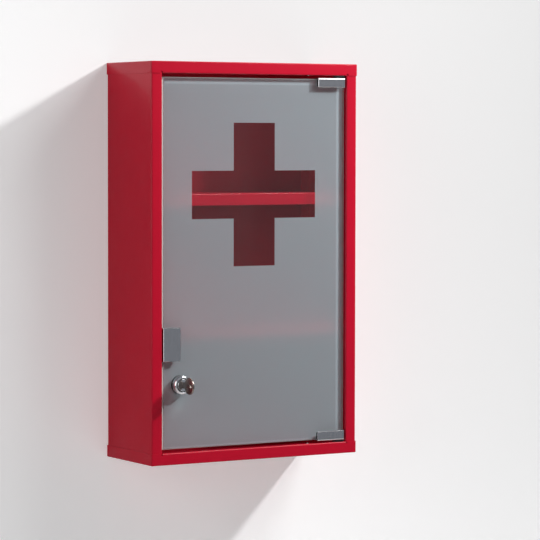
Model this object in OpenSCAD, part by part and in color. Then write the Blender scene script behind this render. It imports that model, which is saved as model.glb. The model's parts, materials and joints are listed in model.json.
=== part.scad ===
// Wall-hung medicine cabinet of folded sheet steel with a pivoted, lockable glass door.
// Millimetres. X points right, the door faces -Y, Z points up.
// Origin: centre of the four wall holes, on the rear face of the back panel.

/* [Cabinet] */
// Overall width over the caps
cab_w = 300; // [260:5:420]
// Overall height over the caps
cab_h = 500; // [440:5:700]
// Overall depth, from the wall to the front of the caps
cab_d = 120; // [110:5:180]
// Sheet thickness of the cabinet
sheet = 0.8; // [0.6:0.1:1.2]
// Inside radius of the sheet folds
fold_r = 0.8; // [0.6:0.1:1.4]
// Height of the caps, seen as the top and bottom rails
rail_h = 15; // [13:1:24]
// Width of the stiles beside the door
stile_w = 15; // [12:1:24]
// Depth of the return behind each stile
return_d = 12; // [9:0.5:12.5]
// Depth of the return lip under the top rail and over the bottom rail
lip_d = 14; // [13.5:0.5:18]
// Width of the rear flanges of the side panels
rear_flange_w = 12; // [8:1:20]
// Gap between a side panel's end and the cap's plate
panel_end_gap = 1; // [0.8:0.1:2]
// Gap between a return lip's end and the side panel's return
lip_gap = 0.2; // [0.1:0.1:1]
// Width and height of the bend reliefs beside the return lips
relief = 2.5; // [2:0.1:4]
// Radius of the small notches in the caps' side flanges
notch_r = 1; // [0.6:0.1:1.4]
// Distance of those notches from the front and rear edges
notch_inset = 7; // [5:0.5:12]

/* [Wall fixing] */
// Diameter of the wall holes
wall_hole_d = 6; // [4:0.5:8]
// Distance of the wall holes from the cabinet's sides
wall_hole_side = 40; // [25:1:60]
// Distance of the wall holes from the cabinet's top and bottom
wall_hole_end = 40; // [25:1:60]

/* [Shelves] */
// Top of the upper shelf below the cabinet's top
upper_shelf_drop = 164; // [120:1:200]
// Top of the lower shelf above the cabinet's bottom
lower_shelf_rise = 171; // [160:1:200]
// Height of the folded lips of a shelf
shelf_lip_h = 15; // [15:0.5:22]
// Front of the shelves behind the front of the cabinet
shelf_setback = 15; // [14:0.5:30]
// Gap between the shelves and the panels beside and behind them
shelf_gap = 0.4; // [0.2:0.1:1]
// Width of both legs of the shelf cleats
cleat_w = 12; // [8:0.5:14]
// Thickness of the shelf cleats
cleat_t = 1; // [0.8:0.1:1.5]
// Distance of the cleats' ends from the shelf's front and rear
cleat_inset = 9; // [5:0.5:20]

/* [Glass door] */
// Thickness of the glass
glass_t = 4; // [3:0.5:5]
// Glass front behind the front of the cabinet
door_recess = 3; // [2.5:0.1:3.2]
// Gap between the glass and the stiles
door_side_gap = 2.2; // [2:0.1:3.5]
// Gap between the glass and the rails
door_end_gap = 4.5; // [4.2:0.1:7]
// Width of the ground bevel on the front edges
bevel_w = 1; // [0.6:0.1:4]
// Depth of the ground bevel
bevel_d = 1; // [0.5:0.1:1.5]
// Arris ground on the rear edges
arris = 0.5; // [0.2:0.1:1]
// Thickness of the frosted layer on the rear face
frost_t = 0.2; // [0.1:0.05:0.3]
// Bare margin between the frosted layer and the rear arris
frost_margin = 0.3; // [0.2:0.1:2]
// Span of the clear cross window
cross_span = 180; // [120:5:190]
// Width of the bars of the cross
cross_bar = 60; // [40:5:70]
// Centre of the cross below the glass top
cross_drop = 146; // [120:1:170]

/* [Hinges] */
// Length of a hinge clamp
clamp_l = 40; // [36:1:60]
// Reach of the clamp legs over the glass
clamp_reach = 10.5; // [9:0.5:16]
// Thickness of the clamp metal
clamp_t = 1.6; // [1.2:0.1:1.8]
// Inside radius of the clamp bends
clamp_r = 0.9; // [0.5:0.1:1]
// Edge chamfer of the clamps
clamp_chamfer = 0.6; // [0.3:0.1:0.9]
// Clamp end inside the glass edge
clamp_end_inset = 1; // [0.8:0.1:1.5]
// Gap between the clamp and the glass edge
clamp_edge_gap = 0.4; // [0.2:0.1:0.6]
// Thickness of the pads in front of the glass
front_pad_t = 2.4; // [1.8:0.1:2.4]
// Thickness of the pads behind the glass
rear_pad_t = 1; // [0.6:0.1:1.5]
// Pivot axis inside the glass edge
pivot_inset = 7; // [6.8:0.1:7.2]
// Diameter of the pivot pins
pin_d = 4; // [3:0.5:4]
// Radial running clearance of a pin in its bush
pin_clear = 0.05; // [0.02:0.01:0.1]
// Wall of the bush round the pin
bush_wall = 0.75; // [0.6:0.05:0.8]
// Length of the bush flange
bush_flange_l = 16; // [12:1:17]
// Width of the bush flange
bush_flange_w = 8.6; // [8:0.2:9]
// Play between the clamp and the bush flange
pivot_play = 0.2; // [0.1:0.1:0.5]
// Thickness of the pivot plates
pivot_plate_t = 1.5; // [1:0.1:2.5]
// Distance between the pivot and the rivet of its plate
rivet_pitch = 45; // [30:1:60]
// Diameter of the rivets
rivet_d = 3.2; // [2.4:0.2:4]
// Diameter of the grub screws in the clamps
grub_d = 4; // [3:0.5:5]
// Length of the grub screws
grub_l = 3; // [2.4:0.2:4]

/* [Catch plate and push latch] */
// Width of the catch plate on the front of the glass
catch_w = 24.4; // [18:0.2:26]
// Width of the catch plate behind the glass
catch_rear_w = 18; // [16.5:0.5:22]
// Height of the catch plate
catch_h = 42; // [30:1:50]
// Thickness of the catch plate metal
catch_t = 1.2; // [0.8:0.1:1.6]
// Corner radius of the catch plate
catch_corner_r = 2; // [1:0.5:4]
// Height of the catch plate's centre above the latch axis
catch_shift = 2.6; // [-4:0.1:4]
// Gap between the catch plate's web and the glass edge
catch_edge_gap = 0.2; // [0.1:0.1:0.4]
// Thickness of the pad between plate and glass front
catch_pad_t = 2.8; // [2:0.1:2.8]
// Thickness of the pad behind the glass
catch_rear_pad_t = 0.6; // [0.4:0.1:1]
// Latch axis inside the free edge of the glass
latch_inset = 8; // [7:0.5:10]
// Height of the latch housing
latch_h = 13; // [12:0.5:14]
// Width of the latch housing
latch_w = 16; // [13:0.5:16]
// Length of the latch housing
latch_l = 44; // [40:1:60]
// Gap between the latch housing and the shelf lip above it
latch_gap = 2.5; // [2:0.1:6]
// Diameter of the latch plunger
plunger_d = 8; // [6:0.5:8]
// Radial clearance of the plunger
plunger_clear = 0.05; // [0.03:0.01:0.1]
// Inward travel of the plunger
plunger_travel = 2.5; // [1:0.1:3]
// Gap between the magnet and the catch plate
magnet_gap = 0.3; // [0.2:0.1:0.6]
// Thickness of the latch bracket
bracket_t = 1; // [0.8:0.1:1.5]
// Diameter of the latch screws
latch_screw_d = 3; // [2.5:0.5:4]

/* [Lock and key] */
// Lock axis inside the free edge of the glass
lock_inset = 24.5; // [20:0.5:26]
// Lock axis below the latch axis
lock_drop = 47.8; // [44:0.1:60]
// Diameter of the lock bezel
bezel_d = 24; // [22:0.5:26]
// Height of the bezel over the glass, gasket included
bezel_h = 8; // [7.5:0.1:10]
// Diameter of the threaded barrel behind the bezel
barrel_d = 18; // [17.5:0.5:20]
// Thickness of the lock gaskets
gasket_t = 0.5; // [0.3:0.1:1]
// Thickness of the lock nut
nut_t = 4; // [3:0.5:4.5]
// Width of the lock nut across flats
nut_flats = 24; // [23:0.5:28]
// Diameter of the plug's face
plug_face_d = 15; // [14:0.5:15]
// Diameter of the plug inside the barrel
plug_d = 12; // [11:0.5:12.5]
// Radial clearance of the plug in the barrel
plug_clear = 0.05; // [0.02:0.01:0.1]
// Length of the cam from the lock axis to its tip
cam_l = 34; // [32:0.5:38]
// Width of the cam
cam_w = 12; // [10:0.5:14]
// Thickness of the cam
cam_t = 2; // [1.5:0.1:2.5]
// Gap between the stile's return and the cam behind it
cam_gap = 1; // [0.6:0.1:2]
// Diameter of the cam screw
cam_screw_d = 3; // [2.5:0.5:4]
// Diameter of the key's round bow
bow_d = 21; // [16:0.5:24]
// Thickness of the key's bow
bow_t = 2.6; // [2:0.1:3]
// Length of the key's neck between lock and bow
neck_l = 5; // [4:0.5:8]
// Height of the key's blade
blade_h = 7; // [6:0.5:8]
// Thickness of the key's blade
blade_t = 2.2; // [1.6:0.1:2.4]
// Clearance of the blade in the key slot
blade_clear = 0.1; // [0.05:0.05:0.3]
// Length of the key's blade inside the plug
blade_l = 15; // [12:0.5:15]

/* [Hidden] */
$fn = 72;
through = 1;

// Cabinet planes
rear_y = sheet;
front_y = rear_y - cab_d;
mid_y = (front_y + rear_y) / 2;
fold_out = fold_r + sheet;
panel_x = cab_w / 2 - sheet;
wall_x = panel_x - sheet;
panel_front_y = front_y + sheet;
panel_z = cab_h / 2 - sheet - panel_end_gap;
opening_x = panel_x - stile_w;
opening_z = cab_h / 2 - rail_h;
lip_x = opening_x - lip_gap;
return_rear_y = panel_front_y + return_d;

// Shelves
upper_shelf_z = cab_h / 2 - upper_shelf_drop;
lower_shelf_z = lower_shelf_rise - cab_h / 2;
shelf_front_y = front_y + shelf_setback;
shelf_rear_y = -2 * sheet - shelf_gap;
shelf_d = shelf_rear_y - shelf_front_y;

// Glass
glass_x = opening_x - door_side_gap;
glass_z = opening_z - door_end_gap;
glass_front_y = front_y + door_recess;
glass_rear_y = glass_front_y + glass_t;
frost_x = glass_x - arris - frost_margin;
frost_z = glass_z - arris - frost_margin;
frost_rear_y = glass_rear_y + frost_t;
cross_z = glass_z - cross_drop;

// Hinges
pivot_x = glass_x - pivot_inset;
pivot_y = (glass_front_y + glass_rear_y) / 2;
clamp_x1 = glass_x - clamp_end_inset;
clamp_x0 = clamp_x1 - clamp_l;
clamp_top_z = glass_z + clamp_edge_gap + clamp_t;
clamp_low_z = glass_z - clamp_reach;
clamp_front_y = glass_front_y - front_pad_t - clamp_t;
clamp_rear_y = frost_rear_y + rear_pad_t + clamp_t;
hinge_pad_top_z = glass_z + clamp_edge_gap - clamp_r;
hinge_pad_low_z = clamp_low_z + 1.5;
hinge_pad_l = clamp_l - 3;
pin_r = pin_d / 2;
pin_tip = 0.6;
bush_bore_r = pin_r + pin_clear;
bush_r = bush_bore_r + bush_wall;
bush_seat = 0.05;
bush_snap = 0.5;
bush_snap_h = 2;
bush_snap_edge = 0.6;
bush_lead = 0.2;
bush_top_z = opening_z + sheet + pivot_plate_t + bush_snap_h;
bush_flange_t = opening_z - clamp_top_z - pivot_play;
bush_flange_r = bush_flange_w / 2 - 0.1;
pin_top_z = bush_top_z + 1;
pivot_plate_y0 = front_y + fold_out;
pivot_plate_y1 = front_y + lip_d - 0.6;
pivot_plate_end = 8;
rivet_x = pivot_x - rivet_pitch;
rivet_y = (pivot_plate_y0 + pivot_plate_y1) / 2;
rivet_head_h = 1.2;
rivet_tail_w = 0.8;

// Push latch and catch plate
latch_x = -(glass_x - latch_inset);
latch_z = lower_shelf_z - shelf_lip_h - latch_gap - latch_h / 2;
catch_z = latch_z + catch_shift;
catch_x0 = -(glass_x + catch_edge_gap + catch_t);
catch_fold_r = 0.3;
catch_chamfer = 0.6;
catch_pad_inset = 1.5;
catch_front_y = glass_front_y - catch_pad_t - catch_t;
catch_rear_y = frost_rear_y + catch_rear_pad_t + catch_t;
magnet_y = catch_rear_y + magnet_gap;
magnet_t = 1.6;
plunger_head_l = 3.2;
plunger_rim_w = 1;
plunger_head_r = plunger_d / 2 + plunger_rim_w;
plunger_head_y = magnet_y + magnet_gap;
latch_front_y = plunger_head_y + plunger_head_l + plunger_travel + 2;
plunger_l = 24;
foot_w = 34;
foot_d = 20;
foot_t = 3;
foot_corner_r = 3;
housing_corner_r = 4;
plunger_room = 10;
foot_y = latch_front_y + latch_l / 2;
latch_screw_pitch = 26;
screw_clear = 0.2;
screw_slot_w = 0.6;
screw_slot_depth = 0.8;
screw_end = 1;

// Lock and key
lock_x = -(glass_x - lock_inset);
lock_z = latch_z - lock_drop;
lock_front_y = glass_front_y - bezel_h;
plug_front_y = lock_front_y + 0.5;
plug_face_l = 4.5;
plug_chamfer = 0.4;
plug_end_play = 0.1;
rim_cone_w = 2.8;
rim_cone_h = 2.2;
rim_flat_w = 0.4;
face_dish = 1.5;
barrel_lead = 0.5;
nut_chamfer = 0.8;
cam_front_y = return_rear_y + cam_gap;
barrel_rear_y = cam_front_y - 0.2;
barrel_r = barrel_d / 2;
hole_clear = 0.5;
gasket_inset = 0.5;
thread_clear = 0.02;
post_w = 7;
post_clear = 0.05;
post_short = 0.2;
hub_w = 2;
slot_rear_y = plug_front_y + blade_l + 0.5;
cam_screw_y = slot_rear_y + 0.8;
cam_screw_l = cam_front_y + cam_t - cam_screw_y;
cam_head_w = 1.5;
cam_head_h = 2.4;
bow_y = plug_front_y - neck_l - bow_d / 2;
ring_hole_r = 2;
ring_hole_out = bow_d / 5;
key_stop_gap = 0.2;
key_shoulder = 0.5;
key_cuts = 4;
key_cut_w = 1.3;
key_cut_step = 0.5;

// ---- Helpers ----

// Profile in X and Z, extruded from Y = 0 to Y = len
module along_y(len) {
    rotate([90, 0, 0])
        translate([0, 0, -len])
            linear_extrude(len) children();
}

// Profile in Y and Z, extruded along X from x0 to x1
module along_x(x0, x1) {
    translate([x0, 0, 0])
        rotate([90, 0, 90])
            linear_extrude(x1 - x0) children();
}

// Revolved about an axis along Y: the profile's height counts forwards, to -Y
module revolve_y() {
    rotate([90, 0, 0]) rotate_extrude() children();
}

// Quarter of a ring, from 0 to 90 degrees
module quarter_ring(r, t) {
    intersection() {
        difference() {
            circle(r + t);
            circle(r);
        }
        square(r + t + through);
    }
}

// Section of a folded strip that starts along +X with its thickness to the left.
// legs holds the straight lengths; each turn is 1 for left and -1 for right.
module folded(legs, turns, t, r, i = 0) {
    square([legs[i], t]);
    if (i < len(turns)) {
        left = turns[i] > 0;
        centre_y = left ? t + r : -r;
        translate([legs[i], centre_y])
            rotate(left ? -90 : 0) quarter_ring(r, t);
        translate([legs[i] + r + (left ? t : 0), centre_y])
            rotate(left ? 90 : -90) folded(legs, turns, t, r, i + 1);
    }
}

// Rectangle centred on the origin with round corners
module round_rect(w, h, r) {
    square([w, h - 2 * r], center = true);
    square([w - 2 * r, h], center = true);
    for (x = [-1, 1], y = [-1, 1])
        translate([x * (w / 2 - r), y * (h / 2 - r)]) circle(r);
}

// Rectangle that stands on the X axis, with its top corners rounded
module round_top(w, h, r) {
    translate([-w / 2, 0]) square([w, h - r]);
    translate([r - w / 2, 0]) square([w - 2 * r, h]);
    for (x = [-1, 1])
        translate([x * (w / 2 - r), h - r]) circle(r);
}

// Block on Z = 0 whose upright and top edges are rounded, as a folded pan's are
module round_block(w, d, h, r) {
    intersection() {
        linear_extrude(h) round_rect(w, d, r);
        translate([0, -d / 2, 0]) along_y(d) round_top(w, h, r);
        along_x(-w / 2, w / 2) round_top(d, h, r);
    }
}

module mirrored_z() {
    mirror([0, 0, 1]) children();
}

// ---- Cabinet ----

// Return lip of the top rail: its bend and the flat strip that carries the pivots
module return_lip() {
    along_x(-lip_x, lip_x)
        translate([front_y + lip_d, opening_z + sheet])
            rotate(180)
                folded([lip_d - fold_out, relief - fold_out + through], [-1], sheet, fold_r);
}

module cap() {
    difference() {
        union() {
            difference() {
                translate([0, mid_y, opening_z])
                    round_block(cab_w, cab_d, rail_h, fold_out);
                translate([0, mid_y, opening_z - through])
                    round_block(cab_w - 2 * sheet, cab_d - 2 * sheet,
                        rail_h - sheet + through, fold_r);
                // The front flange ends above the lip, with a relief at each side
                translate([-lip_x - relief, front_y - through, opening_z - through])
                    cube([2 * (lip_x + relief), sheet + fold_r + through, relief + through]);
                for (s = [-1, 1], y = [front_y + notch_inset, rear_y - notch_inset])
                    translate([s * (cab_w / 2 - sheet / 2), y, opening_z])
                        rotate([0, 90, 0])
                            cylinder(r = notch_r, h = 2 * sheet, center = true);
            }
            return_lip();
        }
        translate([pivot_x, pivot_y, opening_z - through])
            cylinder(r = bush_r + bush_seat, h = sheet + 2 * through);
        translate([rivet_x, rivet_y, opening_z - through])
            cylinder(d = rivet_d, h = sheet + 2 * through);
    }
}

module top_cap() {
    color("crimson") cap();
}

module bottom_cap() {
    color("crimson") mirrored_z() cap();
}

// Side panel: rear flange, side, stile and return, folded from one sheet
module side_panel() {
    side_d = -sheet - panel_front_y;
    translate([0, 0, -panel_z])
        linear_extrude(2 * panel_z)
            translate([rear_flange_w - panel_x, -sheet])
                rotate(180)
                    folded([rear_flange_w - fold_out, side_d - 2 * fold_out,
                        stile_w - 2 * fold_out, return_d - fold_out],
                        [1, 1, 1], sheet, fold_r);
}

module side_left() {
    color("crimson") side_panel();
}

module side_right() {
    color("crimson") mirror([1, 0, 0]) side_panel();
}

module back_panel() {
    hole_x = cab_w / 2 - wall_hole_side;
    hole_z = cab_h / 2 - wall_hole_end;
    color("firebrick")
        translate([0, -sheet, 0])
            along_y(sheet)
                difference() {
                    square([2 * wall_x, 2 * panel_z], center = true);
                    for (x = [-hole_x, hole_x], z = [-hole_z, hole_z])
                        translate([x, z]) circle(d = wall_hole_d);
                }
}

// ---- Shelves ----

// Shelf with a folded lip at its front and rear; z is the top of the shelf
module shelf(z) {
    shelf_x = wall_x - shelf_gap;
    along_x(-shelf_x, shelf_x)
        translate([shelf_front_y + sheet, z - shelf_lip_h])
            rotate(90)
                folded([shelf_lip_h - fold_out, shelf_d - 2 * fold_out,
                    shelf_lip_h - fold_out], [-1, -1], sheet, fold_r);
}

// Pair of angle cleats, welded to the side panels, that carry a shelf
module shelf_cleats(z) {
    cleat_out = cleat_t + fold_r;
    for (side = [0, 1])
        mirror([side, 0, 0])
            translate([0, shelf_front_y + cleat_inset, 0])
                along_y(shelf_d - 2 * cleat_inset)
                    translate([cleat_t - wall_x, z - sheet - cleat_w])
                        rotate(90)
                            folded([cleat_w - cleat_out, cleat_w - cleat_out],
                                [-1], cleat_t, fold_r);
}

module shelf_upper() {
    color("crimson") shelf(upper_shelf_z);
}

module shelf_lower() {
    color("crimson") shelf(lower_shelf_z);
}

module shelf_cleats_upper() {
    color("firebrick") shelf_cleats(upper_shelf_z);
}

module shelf_cleats_lower() {
    color("firebrick") shelf_cleats(lower_shelf_z);
}

// ---- Pivots on the cabinet ----

module both_ends() {
    children();
    mirrored_z() children();
}

// Steel strips inside the caps that stiffen the lips at the pivots
module pivot_plates() {
    x0 = rivet_x - pivot_plate_end;
    color("firebrick")
        both_ends()
            difference() {
                translate([x0, pivot_plate_y0, opening_z + sheet])
                    cube([pivot_x + pivot_plate_end - x0,
                        pivot_plate_y1 - pivot_plate_y0, pivot_plate_t]);
                translate([pivot_x, pivot_y, opening_z])
                    cylinder(r = bush_r + bush_seat, h = sheet + pivot_plate_t + through);
                translate([rivet_x, rivet_y, opening_z])
                    cylinder(d = rivet_d, h = sheet + pivot_plate_t + through);
            }
}

// Rivets with a round head under the lip and a set tail on the plate
module pivot_rivets() {
    grip = sheet + pivot_plate_t;
    dome_r = (pow(rivet_d, 2) + pow(rivet_head_h, 2)) / (2 * rivet_head_h);
    color("silver")
        both_ends()
            translate([rivet_x, rivet_y, opening_z])
                rotate_extrude()
                    union() {
                        square([rivet_d / 2, grip + rivet_head_h]);
                        translate([0, grip]) square([rivet_d / 2 + rivet_tail_w, rivet_head_h]);
                        intersection() {
                            translate([0, -rivet_head_h]) square([rivet_d, rivet_head_h]);
                            translate([0, dome_r - rivet_head_h]) circle(dome_r);
                        }
                    }
}

// Snap-in bush: long flange under the lip, barrel through lip and plate, catch on top
module hinge_bush() {
    flange_z = opening_z - bush_flange_t;
    snap_z = opening_z + sheet + pivot_plate_t;
    snap_r = bush_r + bush_snap;
    translate([pivot_x, pivot_y, 0])
        difference() {
            union() {
                translate([0, 0, flange_z])
                    linear_extrude(bush_flange_t)
                        round_rect(bush_flange_l, bush_flange_w, bush_flange_r);
                translate([0, 0, opening_z - bush_flange_t / 2])
                    cylinder(r = bush_r, h = snap_z - opening_z + bush_flange_t);
                translate([0, 0, snap_z])
                    rotate_extrude()
                        polygon([[0, 0], [snap_r, 0], [snap_r, bush_snap_edge],
                            [bush_r - bush_lead, bush_snap_h], [0, bush_snap_h]]);
            }
            translate([0, 0, flange_z - through])
                cylinder(r = bush_bore_r, h = bush_top_z - flange_z + 2 * through);
        }
}

module hinge_bush_top() {
    color("dimgray") hinge_bush();
}

module hinge_bush_bottom() {
    color("dimgray") mirrored_z() hinge_bush();
}

// ---- Push latch on the left side panel ----

module at_latch_screws() {
    for (s = [-1, 1])
        translate([latch_x + s * latch_screw_pitch / 2, foot_y, latch_z - latch_h / 2])
            children();
}

// Angle welded to the side panel; its level leg carries the latch
module latch_bracket() {
    leg = wall_x + latch_x + foot_w / 2 + 1;
    bracket_out = bracket_t + fold_r;
    color("firebrick")
        difference() {
            translate([0, foot_y - foot_d / 2 - 1, 0])
                along_y(foot_d + 2)
                    translate([leg - wall_x, latch_z - latch_h / 2])
                        rotate(180)
                            folded([leg - bracket_out, cleat_w - bracket_out],
                                [1], bracket_t, fold_r);
            at_latch_screws()
                translate([0, 0, -bracket_t - through])
                    cylinder(d = latch_screw_d, h = bracket_t + 2 * through);
        }
}

// Moulded housing: long body with a foot, blind bore for the plunger
module latch_housing() {
    bore_r = plunger_d / 2 + plunger_clear;
    body_z = latch_z - latch_h / 2;
    color("gainsboro")
        difference() {
            union() {
                translate([latch_x, latch_front_y, body_z])
                    along_y(latch_l) round_top(latch_w, latch_h, housing_corner_r);
                translate([latch_x, foot_y, body_z])
                    linear_extrude(foot_t) round_rect(foot_w, foot_d, foot_corner_r);
            }
            translate([latch_x, latch_front_y - through, latch_z])
                rotate([-90, 0, 0])
                    cylinder(r = bore_r, h = plunger_l + plunger_room + through);
            at_latch_screws()
                translate([0, 0, -through])
                    cylinder(d = latch_screw_d + screw_clear, h = foot_t + 2 * through);
        }
}

// Screw head with a tapered upper half, on Z = 0
module pan_head(r, h) {
    rotate_extrude()
        polygon([[0, 0], [r, 0], [r, h / 2], [0.75 * r, h], [0, h]]);
}

// Cross of two slots, w long, cut down from Z = 0
module cross_recess(w) {
    for (a = [0, 90])
        rotate(a) cube([w, screw_slot_w, 2 * screw_slot_depth], center = true);
}

// Pan-head screws through the foot into the bracket
module latch_screws() {
    head_r = latch_screw_d * 0.95;
    head_h = latch_screw_d * 0.6;
    color("silver")
        at_latch_screws()
            difference() {
                union() {
                    translate([0, 0, -bracket_t - screw_end])
                        cylinder(d = latch_screw_d, h = screw_end + bracket_t + foot_t + head_h / 2);
                    translate([0, 0, foot_t]) pan_head(head_r, head_h);
                }
                translate([0, 0, foot_t + head_h]) cross_recess(head_r);
            }
}

module latch_plunger() {
    pocket = magnet_y + magnet_t - plunger_head_y;
    color("white")
        translate([latch_x, plunger_head_y, latch_z])
            rotate([-90, 0, 0])
                difference() {
                    union() {
                        cylinder(r = plunger_head_r, h = plunger_head_l);
                        cylinder(d = plunger_d, h = latch_front_y + plunger_l - plunger_head_y);
                    }
                    translate([0, 0, -through]) cylinder(d = plunger_d, h = pocket + through);
                }
}

module latch_magnet() {
    color("darkgray")
        translate([latch_x, magnet_y, latch_z])
            rotate([-90, 0, 0]) cylinder(d = plunger_d, h = magnet_t);
}

// ---- Door ----

// Section of the glass across one of its spans, front at y = 0
module bevelled(half) {
    polygon([[-half, bevel_d], [bevel_w - half, 0], [half - bevel_w, 0], [half, bevel_d],
        [half, glass_t - arris], [half - arris, glass_t],
        [arris - half, glass_t], [-half, glass_t - arris]]);
}

module lock_hole(depth) {
    translate([lock_x, glass_front_y - through, lock_z])
        rotate([-90, 0, 0]) cylinder(r = barrel_r + hole_clear, h = depth + 2 * through);
}

module door_glass() {
    color("lightcyan", 0.5)
        difference() {
            intersection() {
                translate([0, glass_front_y, -glass_z])
                    linear_extrude(2 * glass_z) bevelled(glass_x);
                along_x(-glass_x, glass_x)
                    translate([glass_front_y, 0]) mirror([1, 0]) rotate(90) bevelled(glass_z);
            }
            lock_hole(glass_t);
        }
}

// Frosted layer, left out where the cross window is clear
module frost_layer() {
    color("lightgray", 0.8)
        difference() {
            translate([0, glass_rear_y, 0])
                along_y(frost_t)
                    difference() {
                        square([2 * frost_x, 2 * frost_z], center = true);
                        translate([0, cross_z]) {
                            square([cross_span, cross_bar], center = true);
                            square([cross_bar, cross_span], center = true);
                        }
                    }
            lock_hole(glass_t + frost_t);
        }
}

module at_grubs() {
    for (s = [-1, 1])
        translate([(clamp_x0 + clamp_x1) / 2 + s * clamp_l / 4, 0,
            glass_z - clamp_reach / 2])
            rotate([-90, 0, 0]) children();
}

// Bent clamp over the glass edge, front edges chamfered
module hinge_clamp() {
    clamp_out = clamp_t + clamp_r;
    clamp_h = clamp_top_z - clamp_low_z;
    clamp_d = clamp_rear_y - clamp_front_y;
    c = clamp_chamfer;
    difference() {
        intersection() {
            along_x(clamp_x0, clamp_x1)
                translate([clamp_front_y + clamp_t, clamp_low_z])
                    rotate(90)
                        folded([clamp_h - clamp_out, clamp_d - 2 * clamp_out,
                            clamp_h - clamp_out], [-1, -1], clamp_t, clamp_r);
            translate([clamp_x0, clamp_front_y, clamp_low_z])
                linear_extrude(clamp_h)
                    polygon([[0, c], [c, 0], [clamp_l - c, 0], [clamp_l, c],
                        [clamp_l, clamp_d], [0, clamp_d]]);
            along_x(clamp_x0, clamp_x1)
                translate([clamp_front_y, clamp_low_z])
                    polygon([[0, c], [c, 0], [clamp_d, 0], [clamp_d, clamp_h], [0, clamp_h]]);
        }
        translate([pivot_x, pivot_y, glass_z]) cylinder(r = pin_r, h = 2 * clamp_t);
        translate([0, frost_rear_y + rear_pad_t - through, 0])
            at_grubs() cylinder(d = grub_d, h = clamp_t + 2 * through);
    }
}

module hinge_clamp_top() {
    color("gray") hinge_clamp();
}

module hinge_clamp_bottom() {
    color("gray") mirrored_z() hinge_clamp();
}

module hinge_pins() {
    z0 = glass_z + clamp_edge_gap;
    color("silver")
        both_ends()
            translate([pivot_x, pivot_y, z0])
                rotate_extrude()
                    polygon([[0, 0], [pin_r, 0], [pin_r, pin_top_z - z0 - pin_tip],
                        [pin_r - pin_tip, pin_top_z - z0], [0, pin_top_z - z0]]);
}

module hinge_pads() {
    for (pad = [[glass_front_y - front_pad_t, front_pad_t], [frost_rear_y, rear_pad_t]])
        translate([(clamp_x0 + clamp_x1 - hinge_pad_l) / 2, pad[0], hinge_pad_low_z])
            cube([hinge_pad_l, pad[1], hinge_pad_top_z - hinge_pad_low_z]);
}

module hinge_pads_top() {
    color("black") hinge_pads();
}

module hinge_pads_bottom() {
    color("black") mirrored_z() hinge_pads();
}

// Grub screws with a hexagon socket, in the rear legs of both clamps
module hinge_screws() {
    color("silver")
        both_ends()
            translate([0, frost_rear_y + rear_pad_t, 0])
                at_grubs()
                    difference() {
                        cylinder(d = grub_d, h = grub_l);
                        translate([0, 0, grub_l / 2])
                            cylinder(d = grub_d / 2, h = grub_l, $fn = 6);
                    }
}

// U clip over the free edge of the glass, corners rounded and front edges chamfered
module catch_plate() {
    c = catch_chamfer;
    depth = catch_rear_y - catch_front_y;
    catch_out = catch_t + catch_fold_r;
    color("gray")
        translate([catch_x0, catch_front_y, catch_z - catch_h / 2])
            intersection() {
                linear_extrude(catch_h)
                    translate([catch_w, catch_t])
                        rotate(180)
                            folded([catch_w - catch_out, depth - 2 * catch_out,
                                catch_rear_w - catch_out], [-1, -1], catch_t, catch_fold_r);
                along_y(depth)
                    translate([0, catch_h / 2])
                        round_rect(2 * catch_w, catch_h, catch_corner_r);
                linear_extrude(catch_h)
                    polygon([[0, 0], [catch_w - c, 0], [catch_w, c], [catch_w, depth], [0, depth]]);
                along_x(0, catch_w)
                    polygon([[0, c], [c, 0], [depth, 0], [depth, catch_h],
                        [c, catch_h], [0, catch_h - c]]);
            }
}

module catch_pads() {
    pad_h = catch_h - 2 * catch_pad_inset;
    color("black")
        for (pad = [[glass_front_y - catch_pad_t, catch_pad_t, catch_w],
                    [frost_rear_y, catch_rear_pad_t, catch_rear_w]])
            translate([catch_pad_inset - glass_x, pad[0], catch_z - pad_h / 2])
                cube([catch_x0 + glass_x + pad[2] - 2 * catch_pad_inset, pad[1], pad_h]);
}

// ---- Lock ----

// Bezel with a conical rim and a dished face, and the barrel through the glass
module lock_body() {
    bezel_r = bezel_d / 2;
    rim_r = bezel_r - rim_cone_w;
    face_r = plug_face_d / 2 + plug_clear;
    bore_r = plug_d / 2 + plug_clear;
    rear = lock_front_y - barrel_rear_y;
    pocket = lock_front_y - plug_front_y - plug_face_l - plug_end_play;
    seat = gasket_t - bezel_h;
    color("lightsteelblue")
        translate([lock_x, lock_front_y, lock_z])
            revolve_y()
                polygon([[bore_r, rear], [barrel_r - barrel_lead, rear],
                    [barrel_r, rear + barrel_lead], [barrel_r, seat], [bezel_r, seat],
                    [bezel_r, -rim_cone_h], [rim_r, 0], [rim_r - rim_flat_w, 0],
                    [face_r, -face_dish], [face_r, pocket], [bore_r, pocket]]);
}

module lock_ring(y, t, r) {
    translate([lock_x, y, lock_z])
        rotate([-90, 0, 0])
            difference() {
                cylinder(r = r, h = t);
                translate([0, 0, -through])
                    cylinder(r = barrel_r + thread_clear, h = t + 2 * through);
            }
}

module lock_gaskets() {
    color("black") {
        lock_ring(glass_front_y - gasket_t, gasket_t, bezel_d / 2 - gasket_inset);
        lock_ring(frost_rear_y, gasket_t, bezel_d / 2);
    }
}

// Hexagon nut with rounded-off corners
module lock_nut() {
    corner_r = nut_flats / sqrt(3);
    color("silver")
        translate([lock_x, frost_rear_y + gasket_t, lock_z])
            rotate([-90, 0, 0])
                difference() {
                    intersection() {
                        cylinder(r = corner_r, h = nut_t, $fn = 6);
                        rotate_extrude()
                            polygon([[0, 0], [corner_r, 0], [corner_r, nut_t - nut_chamfer],
                                [corner_r - 2 * nut_chamfer, nut_t], [0, nut_t]]);
                    }
                    translate([0, 0, -through])
                        cylinder(r = barrel_r + thread_clear, h = nut_t + 2 * through);
                }
}

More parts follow.
